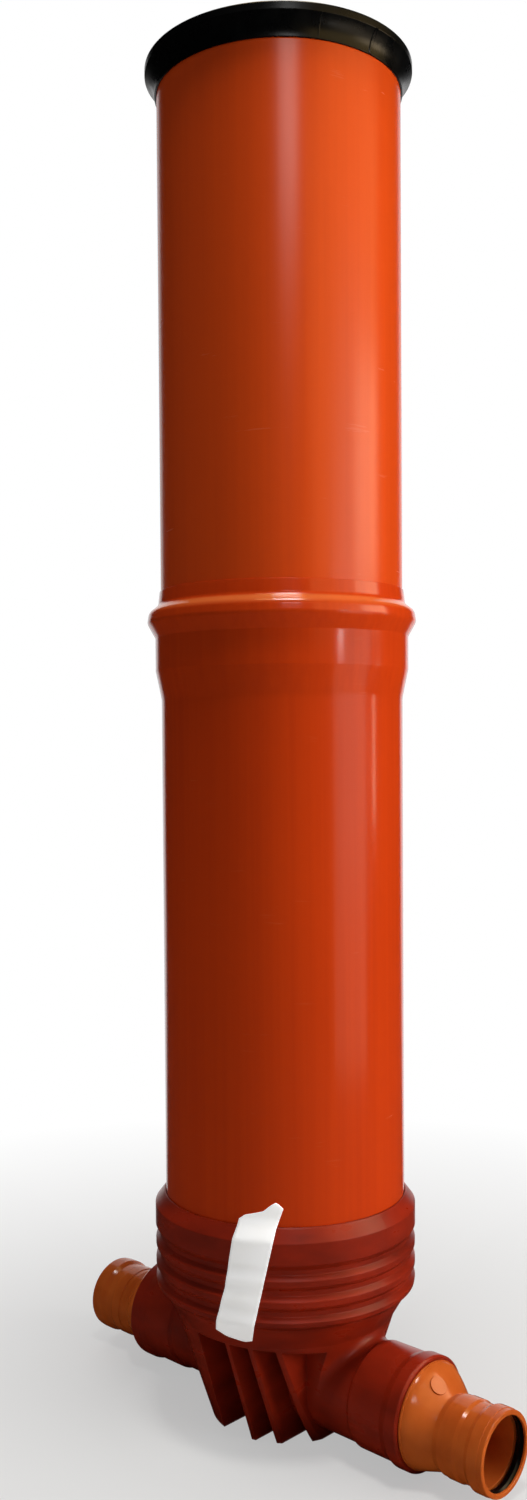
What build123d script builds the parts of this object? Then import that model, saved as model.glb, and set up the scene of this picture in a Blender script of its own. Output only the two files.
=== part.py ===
from build123d import *
import math
import os

# A plastic inspection chamber of the 400 mm size: a ribbed base with a straight run
# channel, two riser pipes, a rubber seal on top and a reducer plugged into each outlet.
# Sizes are in millimetres. Z is up and zero is the floor, the risers stand on the Z axis
# and the channel lies along X.

# Riser pipes
PIPE_R = 200.0
PIPE_WALL = 9.8
PIPE_CHAMFER = 3.0
PIPE_CHAMFER_H = 9.0
SLIDE_GAP = 0.4
SEAL_GAP = 0.3
LOWER_PIPE_RUN = 996.0
UPPER_PIPE_LENGTH = 995.0

# Socket formed on the top of the lower riser, from its mouth downwards
SOCKET_DEPTH = 150.0
SOCKET_STOP_LEDGE = 2.9
SOCKET_LIP_WALL = 1.6
SOCKET_LIP_H = 23.0
SOCKET_BEAD_H = 53.0
SOCKET_BEAD_WALL = 8.9
SOCKET_BEAD_FACES = 5
SOCKET_BARREL_WALL = 9.2
SOCKET_BARREL_H = 54.0
SOCKET_SWELL_H = 47.0
SOCKET_SWELL_FACES = 3

# Rubber rings between riser and socket, and between riser and base
RISER_RING_H = 25.0
RISER_RING_DEPTH = 13.5
COLLAR_RING_DEPTH = 11.5
RING_LIP_SHARE = 0.35

# Ribbed collar of the base
STOP_Z = 220.0
SEAT_DEPTH = 158.0
SEAT_CHAMFER = 2.0
COLLAR_LIP_WALL = 3.6
COLLAR_LIP_CHAMFER = 2.0
COLLAR_SLOPE_H = 20.0
COLLAR_BAND_WALL = 6.1
COLLAR_BAND_MARGIN = 4.5
COLLAR_WALL = 10.1
COLLAR_RIB_RISE = 7.0
COLLAR_GROOVE_RISE = 26.0
COLLAR_GROOVE_PITCH = 32.5
COLLAR_GROOVE_COUNT = 3
COLLAR_GROOVE_HALF = 11.5
COLLAR_GROOVE_FLOOR_HALF = 4.0
COLLAR_SKIRT_H = 7.0
COLLAR_SKIRT_DRAFT = 1.0

# Neck and foot of the base
NECK_WALL = 6.6
NECK_DROP = 1.0
FOOT_TOP_R = 184.0
FOOT_TOP_Z = 180.0
FOOT_R = 125.0
SHELL = 8.0
FIN_X = (38.0, 76.0, 114.0)
FIN_T = 7.0
POCKET_START_X = -26.0
POCKET_END_X = 161.0
KEEL_T = 16.0
SADDLE_FILLET = 14.0
FOOT_TRIM = 40.0

# Run channel and its two sockets
CHANNEL_Z = 88.0
CHANNEL_R = 75.0
CHANNEL_WALL = 5.0
BENCH_Z = 176.0
BENCH_RISE = 12.0
RUN_SPIGOT_R = 80.0
RUN_SOCKET_START = 200.0
RUN_SOCKET_STEP = 6.0
RUN_STOP_LEAD = 12.0
RUN_SOCKET_DEPTH = 89.0
RUN_SOCKET_WALL = 3.4
RUN_RING_LENGTH = 15.0
RUN_RING_INSET = 5.0
RUN_RING_DEPTH = 5.2
RUN_BEAD_WALL = 2.4
RUN_BEAD_MARGIN = 2.0
RUN_BEAD_FLARE = 12.0
RUN_LIP_CHAMFER = 3.0

# Eccentric reducers: spigot, collar and domed shoulder
REDUCER_WALL = 4.0
REDUCER_INSET = 2.0
REDUCER_NOSE = 6.0
REDUCER_NOSE_CHAMFER = 2.0
REDUCER_COLLAR_GAP = 1.0
REDUCER_COLLAR_RISE = 1.6
REDUCER_COLLAR_W = 3.0
SHOULDER_LENGTH = 40.5
SHOULDER_BULGE = 1.35
SHOULDER_FACES = 4
SHOULDER_BORE_FACES = 2
GATE_R = 14.0
GATE_RISE = 1.6
GATE_SINK = 3.0
GATE_ANGLE = 13.0
GATE_ALONG = 0.57

# Smaller socket of each reducer, from the end of the shoulder outwards
OUTLET_Z = 75.0
OUTLET_PIPE_R = 55.0
OUTLET_GAP = 0.3
OUTLET_NECK_R = 57.0
OUTLET_NECK_LENGTH = 10.0
OUTLET_WALL = 4.7
OUTLET_LINE_START = 19.0
OUTLET_LINE_LENGTH = 19.0
OUTLET_LINE_RISE = 1.2
OUTLET_WAIST_RAMP = 6.0
OUTLET_WAIST_WALL = 3.9
OUTLET_STOP_LEAD = 20.5
OUTLET_STOP_RAMP = 4.0
OUTLET_DEPTH = 72.0
OUTLET_RING_LENGTH = 18.0
OUTLET_RING_INSET = 4.0
OUTLET_RING_DEPTH = 5.4
OUTLET_RIM_WALL = 3.3
OUTLET_RIM_MARGIN = 4.0
OUTLET_RIM_RAMP = 8.0
OUTLET_LIP_LENGTH = 9.0
OUTLET_LIP_STEP = 0.8
OUTLET_LIP_CHAMFER = 1.5

# Rubber seal on the top of the upper riser
CAP_SKIRT_H = 40.0
CAP_WEB = 5.5
CAP_RIM_H = 13.0
CAP_RIM_CHAMFER = 2.0
CAP_LIP_WALL = 3.0
CAP_FLARE = 15.7
CAP_FLARE_POWER = 1.8
CAP_FLARE_FACES = 3
CAP_BORE_R = 158.0
CAP_BORE_CHAMFER = 14.0
CAP_SLEEVE_H = 44.0
CAP_SLEEVE_WALL = 7.0
CAP_INNER_GAP = 4.0
CAP_WEB_SLOPE_H = 16.5

pipe_bore_r = PIPE_R - PIPE_WALL
seat_r = PIPE_R + SLIDE_GAP
collar_top_z = STOP_Z + SEAT_DEPTH
band_h = RISER_RING_H + 2 * COLLAR_BAND_MARGIN
band_top_z = collar_top_z - COLLAR_SLOPE_H
band_bottom_z = band_top_z - band_h
band_r = seat_r + COLLAR_RING_DEPTH + COLLAR_BAND_WALL
groove_r = seat_r + COLLAR_WALL
rib_r = groove_r + COLLAR_RIB_RISE
neck_r = seat_r + NECK_WALL
neck_z = STOP_Z - NECK_DROP
foot_taper = (FOOT_TOP_R - FOOT_R) / FOOT_TOP_Z
mouth_z = collar_top_z + LOWER_PIPE_RUN
bead_top_z = mouth_z - SOCKET_LIP_H
bead_bottom_z = bead_top_z - SOCKET_BEAD_H
barrel_bottom_z = bead_bottom_z - SOCKET_BARREL_H
swell_bottom_z = barrel_bottom_z - SOCKET_SWELL_H
upper_start_z = mouth_z - SOCKET_DEPTH
upper_top_z = upper_start_z + UPPER_PIPE_LENGTH
tube_r = CHANNEL_R + CHANNEL_WALL
run_socket_r = RUN_SPIGOT_R + SLIDE_GAP
run_stop = RUN_SOCKET_START + RUN_STOP_LEAD
run_end = run_stop + RUN_SOCKET_DEPTH
run_ring_start = run_end - RUN_RING_INSET - RUN_RING_LENGTH
reducer_collar = run_end + REDUCER_COLLAR_GAP
shoulder_start = reducer_collar + REDUCER_COLLAR_W
shoulder_end = shoulder_start + SHOULDER_LENGTH
outlet_r = OUTLET_PIPE_R + OUTLET_GAP
outlet_stop = shoulder_end + OUTLET_STOP_LEAD
outlet_end = outlet_stop + OUTLET_DEPTH
outlet_ring_start = outlet_end - OUTLET_RING_INSET - OUTLET_RING_LENGTH


def turned(*corners):
    """Solid of revolution about Z from (radius, height) corners."""
    outline = make_face(Polyline(*corners, close=True))
    return revolve(Plane.XZ * outline, Axis.Z)


def laid(solid, axis_z):
    """Turn a solid made about Z so that its axis lies along X at the given height."""
    return Pos(0, 0, axis_z) * Rot(0, 90, 0) * solid


def opposite(solid):
    """The same solid turned half round the riser axis."""
    return Rot(0, 0, 180) * solid


def bulge_corners(radius, bottom, top, rise, faces):
    """Corners of a rounded bead on a wall, from its bottom edge to its top edge."""
    half = 0.5 * (top - bottom)
    bend = (half * half + rise * rise) / (2 * rise)
    reach = math.asin(half / bend)
    corners = []
    for i in range(faces + 1):
        angle = reach * (2 * i / faces - 1)
        height = bottom + half + bend * math.sin(angle)
        corners.append((radius + rise - bend * (1 - math.cos(angle)), height))
    return corners


def swell_corners(start_r, end_r, bottom, top, faces):
    """Corners of a smooth step in a pipe from one radius to another."""
    corners = []
    for i in range(faces + 1):
        share = i / faces
        eased = share * share * (3 - 2 * share)
        radius = start_r + (end_r - start_r) * eased
        corners.append((radius, bottom + (top - bottom) * share))
    return corners


def seal_ring(inner_r, outer_r, start, length):
    """Rubber ring with a thick back and a narrower lip towards the pipe."""
    middle = start + 0.5 * length
    lip = 0.5 * RING_LIP_SHARE * length
    return turned(
        (outer_r, start),
        (outer_r, start + length),
        (inner_r, middle + lip),
        (inner_r, middle - lip),
    )


# Base: foot cone, neck, grooves and the plain band, as one turned outline that starts
# below the floor, so that the saddle fillet can run under the tube before the foot is cut
def base_outline():
    lip_r = seat_r + COLLAR_LIP_WALL
    first_z = STOP_Z + COLLAR_GROOVE_RISE
    corners = [
        (0, -FOOT_TRIM),
        (FOOT_R - foot_taper * FOOT_TRIM, -FOOT_TRIM),
        (FOOT_TOP_R, FOOT_TOP_Z),
        (neck_r, neck_z),
        (rib_r - COLLAR_SKIRT_DRAFT, first_z - COLLAR_GROOVE_HALF - COLLAR_SKIRT_H),
    ]
    for i in range(COLLAR_GROOVE_COUNT):
        z = first_z + i * COLLAR_GROOVE_PITCH
        corners.append((rib_r, z - COLLAR_GROOVE_HALF))
        corners.append((groove_r, z - COLLAR_GROOVE_FLOOR_HALF))
        corners.append((groove_r, z + COLLAR_GROOVE_FLOOR_HALF))
        if i < COLLAR_GROOVE_COUNT - 1:
            corners.append((rib_r, z + COLLAR_GROOVE_HALF))
    corners.append((band_r, band_bottom_z))
    corners.append((band_r, band_top_z))
    corners.append((lip_r, collar_top_z - COLLAR_LIP_CHAMFER))
    corners.append((lip_r - 0.5 * COLLAR_LIP_CHAMFER, collar_top_z))
    corners.append((0, collar_top_z))
    return turned(*corners)


# Base: one run socket from the riser axis outwards, laid along X
def run_socket():
    barrel_r = run_socket_r + RUN_SOCKET_WALL
    bead_r = run_socket_r + RUN_RING_DEPTH + RUN_BEAD_WALL
    bead_start = run_ring_start - RUN_BEAD_MARGIN
    solid = turned(
        (0, 0),
        (tube_r, 0),
        (tube_r, RUN_SOCKET_START),
        (barrel_r, RUN_SOCKET_START + RUN_SOCKET_STEP),
        (barrel_r, bead_start - RUN_BEAD_FLARE),
        (bead_r, bead_start),
        (bead_r, run_end - RUN_LIP_CHAMFER),
        (bead_r - RUN_LIP_CHAMFER, run_end),
        (0, run_end),
    )
    return laid(solid, CHANNEL_Z)


def run_bore():
    ring_r = run_socket_r + RUN_RING_DEPTH
    ring_end = run_ring_start + RUN_RING_LENGTH
    bore = turned(
        (0, -1),
        (CHANNEL_R, -1),
        (CHANNEL_R, run_stop),
        (run_socket_r, run_stop),
        (run_socket_r, run_ring_start),
        (ring_r, run_ring_start),
        (ring_r, ring_end),
        (run_socket_r, ring_end),
        (run_socket_r, run_end + 1),
        (0, run_end + 1),
    )
    return laid(bore, CHANNEL_Z)


# Base: room above the channel, with a bench sloping up from each channel wall
def hopper():
    bench_end_z = BENCH_Z + BENCH_RISE
    room = turned(
        (0, CHANNEL_Z),
        (FOOT_R + foot_taper * CHANNEL_Z - SHELL, CHANNEL_Z),
        (FOOT_TOP_R - SHELL, FOOT_TOP_Z),
        (pipe_bore_r, neck_z - SHELL),
        (pipe_bore_r, STOP_Z + 1),
        (0, STOP_Z + 1),
    )
    section = Polyline(
        (-CHANNEL_R, CHANNEL_Z),
        (-CHANNEL_R, BENCH_Z),
        (-PIPE_R, bench_end_z),
        (-PIPE_R, STOP_Z + 1),
        (PIPE_R, STOP_Z + 1),
        (PIPE_R, bench_end_z),
        (CHANNEL_R, BENCH_Z),
        (CHANNEL_R, CHANNEL_Z),
        close=True,
    )
    prism = extrude(Plane.YZ * make_face(section), PIPE_R, both=True)
    return room & prism


# Base: hollows moulded from below between the fins, on the side where Y is negative
def underside_pockets():
    under = BENCH_Z - SHELL
    section = Polyline(
        (-rib_r, -1),
        (-rib_r, under + BENCH_RISE),
        (-tube_r, under),
        (-tube_r, CHANNEL_Z),
        (-0.5 * KEEL_T, CHANNEL_Z),
        (-0.5 * KEEL_T, -1),
        close=True,
    )
    band = extrude(Plane.YZ * make_face(section), PIPE_R, both=True)
    band -= laid(Cylinder(tube_r, 2 * PIPE_R), CHANNEL_Z)
    inner_hull = turned(
        (0, -1),
        (FOOT_R - SHELL, -1),
        (FOOT_TOP_R - SHELL, FOOT_TOP_Z),
        (0, FOOT_TOP_Z),
    )
    half_fin = 0.5 * FIN_T
    open_edges = [POCKET_START_X, *FIN_X, POCKET_END_X]
    closed_edges = [*[-x for x in reversed(FIN_X)], POCKET_START_X]
    pockets = []
    for left, right in zip(open_edges, open_edges[1:]):
        start = left if left == POCKET_START_X else left + half_fin
        end = right if right == POCKET_END_X else right - half_fin
        pockets.append(band & slab(start, end))
    for left, right in zip(closed_edges, closed_edges[1:]):
        pockets.append(band & inner_hull & slab(left + half_fin, right - half_fin))
    return pockets


def slab(start_x, end_x):
    """Tall block between two planes across the channel."""
    reach = 2 * band_r
    block = Box(end_x - start_x, reach, reach)
    return Pos(0.5 * (start_x + end_x), 0, 0) * block


def chamber_base():
    body = base_outline()
    tube = laid(Cylinder(tube_r, 2 * RUN_SOCKET_START), CHANNEL_Z)
    joined = body + tube
    seam = new_edges(body, tube, combined=joined)
    body = fillet(seam, SADDLE_FILLET)
    body -= Pos(0, 0, -FOOT_TRIM) * Box(4 * FOOT_R, 4 * FOOT_R, 2 * FOOT_TRIM)
    body += run_socket()
    body += opposite(run_socket())
    for pocket in underside_pockets():
        body -= pocket
        body -= opposite(pocket)
    ring_r = seat_r + COLLAR_RING_DEPTH
    ring_start = band_bottom_z + COLLAR_BAND_MARGIN
    ring_end = ring_start + RISER_RING_H
    seat = turned(
        (0, STOP_Z),
        (seat_r, STOP_Z),
        (seat_r, ring_start),
        (ring_r, ring_start),
        (ring_r, ring_end),
        (seat_r, ring_end),
        (seat_r, collar_top_z - SEAT_CHAMFER),
        (seat_r + 0.5 * SEAT_CHAMFER, collar_top_z + 1),
        (0, collar_top_z + 1),
    )
    body -= seat
    body -= hopper()
    body -= run_bore()
    body -= opposite(run_bore())
    return body


# Lower riser: plain pipe with a beaded socket drawn on its top end
def lower_riser_pipe():
    barrel_r = seat_r + SOCKET_BARREL_WALL
    ring_r = seat_r + RISER_RING_DEPTH
    bead_rise = ring_r + SOCKET_BEAD_WALL - barrel_r
    ring_start = bead_bottom_z + 0.5 * (SOCKET_BEAD_H - RISER_RING_H)
    swell = swell_corners(
        PIPE_R, barrel_r, swell_bottom_z, barrel_bottom_z, SOCKET_SWELL_FACES
    )
    bead = bulge_corners(barrel_r, bead_bottom_z, bead_top_z, bead_rise, SOCKET_BEAD_FACES)
    return turned(
        (pipe_bore_r, STOP_Z),
        (PIPE_R - PIPE_CHAMFER, STOP_Z),
        (PIPE_R, STOP_Z + PIPE_CHAMFER_H),
        *swell,
        *bead,
        (seat_r + SOCKET_LIP_WALL, mouth_z),
        (seat_r, mouth_z),
        (seat_r, ring_start + RISER_RING_H),
        (ring_r, ring_start + RISER_RING_H),
        (ring_r, ring_start),
        (seat_r, ring_start),
        (seat_r, upper_start_z),
        (seat_r - SOCKET_STOP_LEDGE, upper_start_z),
        (pipe_bore_r, swell_bottom_z),
    )


def riser_socket_ring():
    start = bead_bottom_z + 0.5 * (SOCKET_BEAD_H - RISER_RING_H) + SEAL_GAP
    outer_r = seat_r + RISER_RING_DEPTH - SEAL_GAP
    return seal_ring(PIPE_R + SEAL_GAP, outer_r, start, RISER_RING_H - 2 * SEAL_GAP)


def base_collar_ring():
    start = band_bottom_z + COLLAR_BAND_MARGIN + SEAL_GAP
    outer_r = seat_r + COLLAR_RING_DEPTH - SEAL_GAP
    return seal_ring(PIPE_R + SEAL_GAP, outer_r, start, RISER_RING_H - 2 * SEAL_GAP)


def upper_riser_pipe():
    return turned(
        (pipe_bore_r, upper_start_z),
        (PIPE_R - PIPE_CHAMFER, upper_start_z),
        (PIPE_R, upper_start_z + PIPE_CHAMFER_H),
        (PIPE_R, upper_top_z),
        (pipe_bore_r, upper_top_z),
    )


# Top seal: flared skirt over the riser end, a web across it and a sleeve round the bore
def telescope_seal():
    top = upper_top_z + CAP_WEB
    skirt = upper_top_z - CAP_SKIRT_H
    rim = top - CAP_RIM_H
    skirt_r = PIPE_R + SEAL_GAP
    lip_r = skirt_r + CAP_LIP_WALL
    rim_r = lip_r + CAP_FLARE
    inner_r = pipe_bore_r - CAP_INNER_GAP
    sleeve_r = CAP_BORE_R + CAP_SLEEVE_WALL
    sleeve_z = top - CAP_SLEEVE_H
    flare = []
    for i in range(CAP_FLARE_FACES + 1):
        share = i / CAP_FLARE_FACES
        radius = lip_r + CAP_FLARE * share**CAP_FLARE_POWER
        flare.append((radius, skirt + (rim - skirt) * share))
    return turned(
        *flare,
        (rim_r, top - CAP_RIM_CHAMFER),
        (rim_r - CAP_RIM_CHAMFER, top),
        (CAP_BORE_R + CAP_BORE_CHAMFER, top),
        (CAP_BORE_R, top - CAP_BORE_CHAMFER),
        (CAP_BORE_R, sleeve_z),
        (sleeve_r, sleeve_z),
        (sleeve_r, upper_top_z - CAP_WEB_SLOPE_H),
        (inner_r, upper_top_z),
        (skirt_r, upper_top_z),
        (skirt_r, skirt),
    )


# Reducer: spigot in the run socket, domed eccentric shoulder and the smaller socket
def shoulder_at(along):
    """Place, radius and centre height of the shoulder at a share of its length."""
    drop = along**SHOULDER_BULGE * (1 - along) + along * along
    radius = RUN_SPIGOT_R + (OUTLET_NECK_R - RUN_SPIGOT_R) * drop
    height = CHANNEL_Z + (OUTLET_Z - CHANNEL_Z) * drop
    return shoulder_start + along * SHOULDER_LENGTH, radius, height


def shoulder(inset, faces):
    """Shoulder through circles from the run size down to the outlet size."""
    circles = []
    for i in range(faces + 1):
        x, radius, height = shoulder_at(i / faces)
        plane = Plane(origin=(x, 0, height), z_dir=(1, 0, 0))
        circles.append(plane * Circle(radius - inset))
    return loft(circles, ruled=True)


def gate_boss():
    """Flat round boss on the shoulder, where the mould was filled."""
    lean = math.radians(GATE_ANGLE)
    x, radius, height = shoulder_at(GATE_ALONG)
    next_x, next_radius, next_height = shoulder_at(GATE_ALONG + 0.5 / SHOULDER_FACES)
    fall = (radius + height - next_radius - next_height) / (next_x - x)
    outward = (fall, -math.sin(lean), math.cos(lean))
    foot = (x, -radius * math.sin(lean), height + radius * math.cos(lean))
    boss = Cylinder(GATE_R, GATE_RISE + GATE_SINK)
    return Plane(origin=foot, z_dir=outward) * Pos(0, 0, 0.5 * (GATE_RISE - GATE_SINK)) * boss


def reducer():
    wall_r = outlet_r + OUTLET_WALL
    line_r = wall_r + OUTLET_LINE_RISE
    waist_r = outlet_r + OUTLET_WAIST_WALL
    ring_r = outlet_r + OUTLET_RING_DEPTH
    rim_r = ring_r + OUTLET_RIM_WALL
    collar_r = RUN_SPIGOT_R + REDUCER_COLLAR_RISE
    line_start = shoulder_end + OUTLET_LINE_START
    line_end = line_start + OUTLET_LINE_LENGTH
    rim_start = outlet_ring_start - OUTLET_RIM_MARGIN
    lip_start = outlet_end - OUTLET_LIP_LENGTH
    lip_r = rim_r - OUTLET_LIP_STEP
    ring_end = outlet_ring_start + OUTLET_RING_LENGTH
    start = run_stop + REDUCER_INSET
    bore_r = RUN_SPIGOT_R - REDUCER_WALL
    neck_bore_r = OUTLET_NECK_R - REDUCER_WALL
    spigot = turned(
        (0, start),
        (RUN_SPIGOT_R - REDUCER_NOSE_CHAMFER, start),
        (RUN_SPIGOT_R, start + REDUCER_NOSE),
        (RUN_SPIGOT_R, reducer_collar),
        (collar_r, reducer_collar),
        (collar_r, shoulder_start),
        (0, shoulder_start),
    )
    socket = turned(
        (0, shoulder_end),
        (OUTLET_NECK_R, shoulder_end),
        (wall_r, shoulder_end + OUTLET_NECK_LENGTH),
        (wall_r, line_start),
        (line_r, line_start),
        (line_r, line_end),
        (waist_r, line_end + OUTLET_WAIST_RAMP),
        (waist_r, rim_start - OUTLET_RIM_RAMP),
        (rim_r, rim_start),
        (rim_r, lip_start),
        (lip_r, lip_start),
        (lip_r, outlet_end - OUTLET_LIP_CHAMFER),
        (lip_r - OUTLET_LIP_CHAMFER, outlet_end),
        (0, outlet_end),
    )
    spigot_bore = turned(
        (0, start - 1),
        (bore_r, start - 1),
        (bore_r, shoulder_start),
        (0, shoulder_start),
    )
    socket_bore = turned(
        (0, shoulder_end),
        (neck_bore_r, shoulder_end),
        (neck_bore_r, outlet_stop - OUTLET_STOP_RAMP),
        (outlet_r, outlet_stop),
        (outlet_r, outlet_ring_start),
        (ring_r, outlet_ring_start),
        (ring_r, ring_end),
        (outlet_r, ring_end),
        (outlet_r, outlet_end + 1),
        (0, outlet_end + 1),
    )
    outer = laid(spigot, CHANNEL_Z) + shoulder(0, SHOULDER_FACES) + laid(socket, OUTLET_Z)
    outer += gate_boss()
    dome_bore = shoulder(REDUCER_WALL, SHOULDER_BORE_FACES)
    return outer - (laid(spigot_bore, CHANNEL_Z) + dome_bore + laid(socket_bore, OUTLET_Z))


def reducer_ring():
    outer_r = run_socket_r + RUN_RING_DEPTH - SEAL_GAP
    length = RUN_RING_LENGTH - 2 * SEAL_GAP
    ring = seal_ring(RUN_SPIGOT_R + SEAL_GAP, outer_r, run_ring_start + SEAL_GAP, length)
    return laid(ring, CHANNEL_Z)


def outlet_ring():
    outer_r = outlet_r + OUTLET_RING_DEPTH - SEAL_GAP
    length = OUTLET_RING_LENGTH - 2 * SEAL_GAP
    return laid(seal_ring(outlet_r, outer_r, outlet_ring_start + SEAL_GAP, length), OUTLET_Z)


os.makedirs("parts", exist_ok=True)
export_step(chamber_base(), "parts/chamber_base.step")
export_step(lower_riser_pipe(), "parts/lower_riser_pipe.step")
export_step(upper_riser_pipe(), "parts/upper_riser_pipe.step")
export_step(telescope_seal(), "parts/telescope_seal.step")
export_step(riser_socket_ring(), "parts/riser_socket_ring.step")
export_step(base_collar_ring(), "parts/base_collar_ring.step")
export_step(reducer(), "parts/right_reducer.step")
export_step(opposite(reducer()), "parts/left_reducer.step")
export_step(reducer_ring(), "parts/right_reducer_ring.step")
export_step(opposite(reducer_ring()), "parts/left_reducer_ring.step")
export_step(outlet_ring(), "parts/right_outlet_ring.step")
export_step(opposite(outlet_ring()), "parts/left_outlet_ring.step")
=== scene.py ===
import bmesh
import bpy
import math
from mathutils import Matrix, Vector


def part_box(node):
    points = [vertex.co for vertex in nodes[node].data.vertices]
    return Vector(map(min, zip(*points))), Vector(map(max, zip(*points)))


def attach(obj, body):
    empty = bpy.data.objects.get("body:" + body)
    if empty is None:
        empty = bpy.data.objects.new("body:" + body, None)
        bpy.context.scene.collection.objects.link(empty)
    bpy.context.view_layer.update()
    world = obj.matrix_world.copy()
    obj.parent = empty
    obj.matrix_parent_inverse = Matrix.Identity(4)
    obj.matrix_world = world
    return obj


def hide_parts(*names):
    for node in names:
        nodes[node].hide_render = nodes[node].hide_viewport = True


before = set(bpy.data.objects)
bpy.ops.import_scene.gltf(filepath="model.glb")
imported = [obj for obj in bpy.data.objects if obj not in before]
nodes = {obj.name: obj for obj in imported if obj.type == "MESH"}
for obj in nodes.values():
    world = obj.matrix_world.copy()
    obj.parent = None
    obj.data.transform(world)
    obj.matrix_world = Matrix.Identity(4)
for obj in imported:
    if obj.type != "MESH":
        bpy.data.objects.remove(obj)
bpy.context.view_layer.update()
MM = 0.001

# Chamber base: one large injection moulding in brick-red polypropylene. Its collar has
# three grooves for stiffness under a plain band, and the neck runs down into the
# through channel with a socket at each end. Fins, keel and shell reach down to the floor.
BASE_RED = "#9C2710"
BASE_RED_DEEP = "#7E1D0A"
BASE_GRAIN = 1.6 * MM
BASE_FLOW_MARK = 45 * MM
BASE_EDGE_RADIUS = 2.5 * MM
POLYPROPYLENE_IOR = 1.49
SKIN_SHINE = 0.2


def linear(hex_colour):
    """Linear RGBA of an sRGB hex colour."""
    channels = [int(hex_colour[i:i + 2], 16) / 255 for i in (1, 3, 5)]
    return (*[c / 12.92 if c <= 0.04045 else ((c + 0.055) / 1.055) ** 2.4 for c in channels], 1)


def feed(tree, node, inputs):
    """Sets inputs, keyed by socket or listed in their order, to values or outputs."""
    if not isinstance(inputs, dict):
        inputs = dict(enumerate(inputs))
    for socket, value in inputs.items():
        if isinstance(value, bpy.types.NodeSocket):
            tree.links.new(value, node.inputs[socket])
        else:
            node.inputs[socket].default_value = value


def add(tree, kind, inputs=(), **settings):
    """Adds a node with its settings and inputs."""
    node = tree.nodes.new(kind)
    for name, value in settings.items():
        setattr(node, name, value)
    feed(tree, node, inputs)
    return node


def surface(name):
    """New material: its node tree, its shader and the coordinates of the whole object."""
    material = bpy.data.materials.new(name)
    material.use_nodes = True
    tree = material.node_tree
    coords = add(tree, "ShaderNodeTexCoord").outputs["Object"]
    return material, tree, tree.nodes["Principled BSDF"], coords


def patch_scale(size):
    """Scale at which a noise has patches of about the given real size."""
    return 0.5 / size


# Moulded polypropylene: a satin skin from an eroded steel mould, with soft darker flow
# marks. It gives broad dull highlights that catch on the rounded edges of every rib, and
# the finest grain is drawn coarser to show.
base_plastic, tree, shader, coords = surface("moulded_polypropylene_brick_red")
drawn = add(tree, "ShaderNodeMapping", {"Vector": coords, "Scale": (1, 1, 2.5)}).outputs[0]
inputs = {"Vector": drawn, "Scale": patch_scale(BASE_FLOW_MARK), "Detail": 4}
flow = add(tree, "ShaderNodeTexNoise", inputs).outputs[0]
inputs = {"Vector": coords, "Scale": patch_scale(BASE_GRAIN), "Detail": 3}
grain = add(tree, "ShaderNodeTexNoise", inputs).outputs[0]
share = add(tree, "ShaderNodeMapRange", [flow, 0.35, 0.7, 0, 1]).outputs[0]
colours = {0: share, 6: linear(BASE_RED), 7: linear(BASE_RED_DEEP)}
skin = add(tree, "ShaderNodeMix", colours, data_type="RGBA").outputs[2]
gloss = add(tree, "ShaderNodeMapRange", [flow, 0.3, 0.75, 0.26, 0.36]).outputs[0]
edges = add(tree, "ShaderNodeBevel", {"Radius": BASE_EDGE_RADIUS}, samples=6).outputs[0]
inputs = {"Strength": 0.06, "Distance": 0.2 * MM, "Height": grain, "Normal": edges}
bump = add(tree, "ShaderNodeBump", inputs).outputs[0]
feed(tree, shader, {
    "Base Color": skin,
    "Roughness": gloss,
    "IOR": POLYPROPYLENE_IOR,
    "Specular IOR Level": SKIN_SHINE,
    "Normal": bump,
})


def dress(node, material):
    """Gives a CAD node its finish."""
    nodes[node].data.materials.clear()
    nodes[node].data.materials.append(material)


dress("chamber_base", base_plastic)

# Rubber rings: lipped seals of black rubber, moulded in a ring and pushed into the
# grooves of the collar, the riser socket and the run sockets, where the pipes hide them.
RUBBER = "#050607"
RUBBER_BLOOM = "#0D0F10"
RUBBER_BLOOM_W = 14 * MM
RUBBER_GRAIN = 1.2 * MM
RUBBER_IOR = 1.52
RUBBER_SHINE = 0.15

# Moulded rubber: nearly black and half matt, with a faint grey bloom of mould wax.
seal_rubber, tree, shader, coords = surface("moulded_black_rubber")
inputs = {"Vector": coords, "Scale": patch_scale(RUBBER_BLOOM_W), "Detail": 6}
bloom = add(tree, "ShaderNodeTexNoise", inputs).outputs[0]
inputs = {"Vector": coords, "Scale": patch_scale(RUBBER_GRAIN), "Detail": 3}
grain = add(tree, "ShaderNodeTexNoise", inputs).outputs[0]
share = add(tree, "ShaderNodeMapRange", [bloom, 0.5, 0.8, 0, 0.6]).outputs[0]
colours = {0: share, 6: linear(RUBBER), 7: linear(RUBBER_BLOOM)}
skin = add(tree, "ShaderNodeMix", colours, data_type="RGBA").outputs[2]
gloss = add(tree, "ShaderNodeMapRange", [bloom, 0.3, 0.8, 0.24, 0.36]).outputs[0]
inputs = {"Strength": 0.15, "Distance": 0.15 * MM, "Height": grain}
bump = add(tree, "ShaderNodeBump", inputs).outputs[0]
feed(tree, shader, {
    "Base Color": skin,
    "Roughness": gloss,
    "IOR": RUBBER_IOR,
    "Specular IOR Level": RUBBER_SHINE,
    "Normal": bump,
})

for ring in ("base_collar_ring", "right_reducer_ring", "left_reducer_ring"):
    dress(ring, seal_rubber)

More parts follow.
